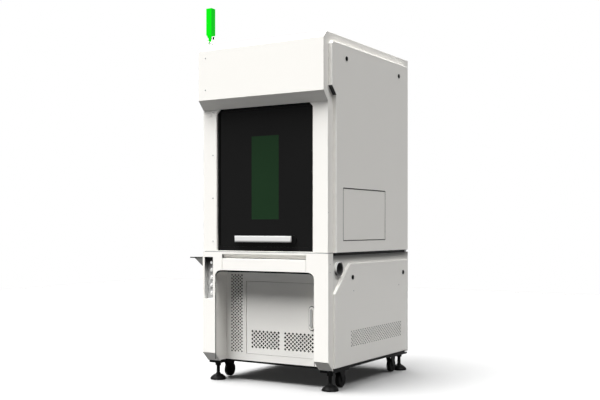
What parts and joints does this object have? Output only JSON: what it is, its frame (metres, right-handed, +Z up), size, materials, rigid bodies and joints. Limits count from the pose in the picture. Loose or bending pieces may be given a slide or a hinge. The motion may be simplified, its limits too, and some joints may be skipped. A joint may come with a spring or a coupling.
{
  "type": "laser decapsulation machine",
  "caption": "Free-standing laser decapsulation cabinet with a lift door, knee space with drawer, locked lower door, push buttons, signal lamp, levelling feet and casters.",
  "frame": {"origin": "on the floor, under the middle of the whole machine's box", "axes": "+Z up, +X to the machine's right seen from the front, +Y to the rear"},
  "size_m": [0.903, 0.994, 2.023],
  "materials": {
    "white_paint": "smooth white powder coat",
    "black_paint": "black powder coat",
    "galvanised_steel": "galvanised sheet",
    "anodised_aluminium": "silver anodised",
    "housing_paint": "dark grey paint",
    "dark_pane": "dark laser-safe acrylic",
    "lens_glass": "coated lens",
    "lamp_green": "green diffuser",
    "pale_plastic": "moulded",
    "button_steel": "bright steel caps",
    "black_plastic": "black nylon",
    "wheel_rubber": "black tread"
  },
  "bodies": {
    "root": {"base_frame": "black_paint", "button_panel": "white_paint", "door_guide_rails": "black_paint", "drawer_rails": "galvanised_steel", "front_hood": "white_paint", "fume_port": "anodised_aluminium", "industrial_computer": "black_paint", "lamp_base": "pale_plastic", "lower_cabinet_body": "white_paint", "lower_front_frame": "white_paint", "lower_rear_panel": "white_paint", "lower_side_panel_left": "white_paint", "lower_side_panel_right": "white_paint", "side_shelf": "white_paint", "upper_cabinet_body": "white_paint", "upper_front_frame": "white_paint", "upper_rear_panel": "white_paint", "upper_side_panel_left": "white_paint", "upper_side_panel_right": "white_paint", "vent_strip": "white_paint", "work_table": "galvanised_steel", "z_column": "black_paint"},
    "lift_door": {"lift_door": "black_paint", "door_window": "dark_pane", "door_handle_base": "black_paint", "door_handle_bar": "anodised_aluminium"},
    "drawer": {"drawer_front": "white_paint", "drawer_tray": "galvanised_steel"},
    "cabinet_door": {"cabinet_door": "white_paint", "cabinet_lock_body": "white_paint"},
    "lock_lever": {"cabinet_lock_handle": "white_paint"},
    "signal_lamp": {"signal_lamp": "lamp_green"},
    "access_hatch": {"access_hatch": "white_paint"},
    "push_button_1": {"push_button_1": "button_steel"},
    "push_button_2": {"push_button_2": "button_steel"},
    "push_button_3": {"push_button_3": "button_steel"},
    "push_button_4": {"push_button_4": "button_steel"},
    "push_button_5": {"push_button_5": "button_steel"},
    "upper_front_latch": {"upper_front_latch": "black_plastic"},
    "upper_rear_latch": {"upper_rear_latch": "black_plastic"},
    "lower_front_latch": {"lower_front_latch": "black_plastic"},
    "lower_rear_latch": {"lower_rear_latch": "black_plastic"},
    "caster_fork_front_left": {"caster_fork_front_left": "black_paint"},
    "caster_wheel_front_left": {"caster_wheel_front_left": "wheel_rubber"},
    "caster_fork_front_right": {"caster_fork_front_right": "black_paint"},
    "caster_wheel_front_right": {"caster_wheel_front_right": "wheel_rubber"},
    "caster_fork_rear_left": {"caster_fork_rear_left": "black_paint"},
    "caster_wheel_rear_left": {"caster_wheel_rear_left": "wheel_rubber"},
    "caster_fork_rear_right": {"caster_fork_rear_right": "black_paint"},
    "caster_wheel_rear_right": {"caster_wheel_rear_right": "wheel_rubber"},
    "levelling_foot_front_left": {"levelling_foot_front_left": "black_paint"},
    "levelling_foot_front_right": {"levelling_foot_front_right": "black_paint"},
    "levelling_foot_rear_left": {"levelling_foot_rear_left": "black_paint"},
    "levelling_foot_rear_right": {"levelling_foot_rear_right": "black_paint"},
    "z_carriage": {"z_carriage": "anodised_aluminium", "laser_source": "housing_paint", "scan_head": "housing_paint", "f_theta_lens": "lens_glass"},
    "stage_y_slide": {"stage_y_slide": "anodised_aluminium"},
    "stage_x_slide": {"stage_x_slide": "anodised_aluminium"}
  },
  "joints": [
    {"name": "lift_door_joint", "type": "slide", "parent": "root", "child": "lift_door", "axis": [0, 0, 1], "range_m": [0, 0.31]},
    {"name": "drawer_joint", "type": "slide", "parent": "root", "child": "drawer", "axis": [0, -1, 0], "range_m": [0, 0.3]},
    {"name": "cabinet_door_joint", "type": "hinge", "parent": "root", "child": "cabinet_door", "pos_m": [-0.1395, -0.344, 0.346], "axis": [0, 0, -1], "range_deg": [0, 90]},
    {"name": "lock_lever_joint", "type": "hinge", "parent": "cabinet_door", "child": "lock_lever", "pos_m": [0.2705, -0.357, 0.325], "axis": [0, -1, 0], "range_deg": [0, 90]},
    {"name": "signal_lamp_joint", "type": "hinge", "parent": "root", "child": "signal_lamp", "pos_m": [-0.3175, -0.437, 1.853], "axis": [-1, 0, 0], "range_deg": [0, 90]},
    {"name": "access_hatch_joint", "type": "hinge", "parent": "root", "child": "access_hatch", "pos_m": [0.4435, 0.1429, 0.9], "axis": [0, 0, 1], "range_deg": [0, 90]},
    {"name": "push_button_1_joint", "type": "slide", "parent": "root", "child": "push_button_1", "axis": [0, 1, 0], "range_m": [0, 0.003], "stiffness_N_per_m": 400},
    {"name": "push_button_2_joint", "type": "slide", "parent": "root", "child": "push_button_2", "axis": [0, 1, 0], "range_m": [0, 0.003], "stiffness_N_per_m": 400},
    {"name": "push_button_3_joint", "type": "slide", "parent": "root", "child": "push_button_3", "axis": [0, 1, 0], "range_m": [0, 0.003], "stiffness_N_per_m": 400},
    {"name": "push_button_4_joint", "type": "slide", "parent": "root", "child": "push_button_4", "axis": [0, 1, 0], "range_m": [0, 0.003], "stiffness_N_per_m": 400},
    {"name": "push_button_5_joint", "type": "slide", "parent": "root", "child": "push_button_5", "axis": [0, 1, 0], "range_m": [0, 0.003], "stiffness_N_per_m": 400},
    {"name": "upper_front_latch_joint", "type": "hinge", "parent": "root", "child": "upper_front_latch", "pos_m": [0.4475, -0.2983, 1.6996], "axis": [1, 0, 0], "range_deg": [0, 90]},
    {"name": "upper_rear_latch_joint", "type": "hinge", "parent": "root", "child": "upper_rear_latch", "pos_m": [0.4475, 0.326, 1.6987], "axis": [1, 0, 0], "range_deg": [0, 90]},
    {"name": "lower_front_latch_joint", "type": "hinge", "parent": "root", "child": "lower_front_latch", "pos_m": [0.4405, -0.2188, 0.5742], "axis": [1, 0, 0], "range_deg": [0, 90]},
    {"name": "lower_rear_latch_joint", "type": "hinge", "parent": "root", "child": "lower_rear_latch", "pos_m": [0.4405, 0.399, 0.5756], "axis": [1, 0, 0], "range_deg": [0, 90]},
    {"name": "caster_fork_front_left_joint", "type": "hinge", "parent": "root", "child": "caster_fork_front_left", "pos_m": [-0.3175, -0.27, 0.09], "axis": [0, 0, 1], "continuous": true},
    {"name": "caster_wheel_front_left_joint", "type": "hinge", "parent": "caster_fork_front_left", "child": "caster_wheel_front_left", "pos_m": [-0.3175, -0.258, 0.042], "axis": [1, 0, 0], "continuous": true},
    {"name": "caster_fork_front_right_joint", "type": "hinge", "parent": "root", "child": "caster_fork_front_right", "pos_m": [0.3885, -0.27, 0.09], "axis": [0, 0, 1], "continuous": true},
    {"name": "caster_wheel_front_right_joint", "type": "hinge", "parent": "caster_fork_front_right", "child": "caster_wheel_front_right", "pos_m": [0.3885, -0.258, 0.042], "axis": [1, 0, 0], "continuous": true},
    {"name": "caster_fork_rear_left_joint", "type": "hinge", "parent": "root", "child": "caster_fork_rear_left", "pos_m": [-0.3175, 0.335, 0.09], "axis": [0, 0, 1], "continuous": true},
    {"name": "caster_wheel_rear_left_joint", "type": "hinge", "parent": "caster_fork_rear_left", "child": "caster_wheel_rear_left", "pos_m": [-0.3175, 0.347, 0.042], "axis": [1, 0, 0], "continuous": true},
    {"name": "caster_fork_rear_right_joint", "type": "hinge", "parent": "root", "child": "caster_fork_rear_right", "pos_m": [0.3885, 0.335, 0.09], "axis": [0, 0, 1], "continuous": true},
    {"name": "caster_wheel_rear_right_joint", "type": "hinge", "parent": "caster_fork_rear_right", "child": "caster_wheel_rear_right", "pos_m": [0.3885, 0.347, 0.042], "axis": [1, 0, 0], "continuous": true},
    {"name": "levelling_foot_front_left_joint", "type": "hinge", "parent": "root", "child": "levelling_foot_front_left", "pos_m": [-0.318, -0.367, 0.06], "axis": [0, 0, 1], "continuous": true},
    {"name": "levelling_foot_front_right_joint", "type": "hinge", "parent": "root", "child": "levelling_foot_front_right", "pos_m": [0.389, -0.367, 0.06], "axis": [0, 0, 1], "continuous": true},
    {"name": "levelling_foot_rear_left_joint", "type": "hinge", "parent": "root", "child": "levelling_foot_rear_left", "pos_m": [-0.318, 0.4535, 0.06], "axis": [0, 0, 1], "continuous": true},
    {"name": "levelling_foot_rear_right_joint", "type": "hinge", "parent": "root", "child": "levelling_foot_rear_right", "pos_m": [0.389, 0.4535, 0.06], "axis": [0, 0, 1], "continuous": true},
    {"name": "z_carriage_joint", "type": "slide", "parent": "root", "child": "z_carriage", "axis": [0, 0, 1], "range_m": [-0.12, 0.2]},
    {"name": "stage_y_slide_joint", "type": "slide", "parent": "root", "child": "stage_y_slide", "axis": [0, 1, 0], "range_m": [-0.09, 0.09]},
    {"name": "stage_x_slide_joint", "type": "slide", "parent": "stage_y_slide", "child": "stage_x_slide", "axis": [1, 0, 0], "range_m": [-0.05, 0.05]}
  ]
}
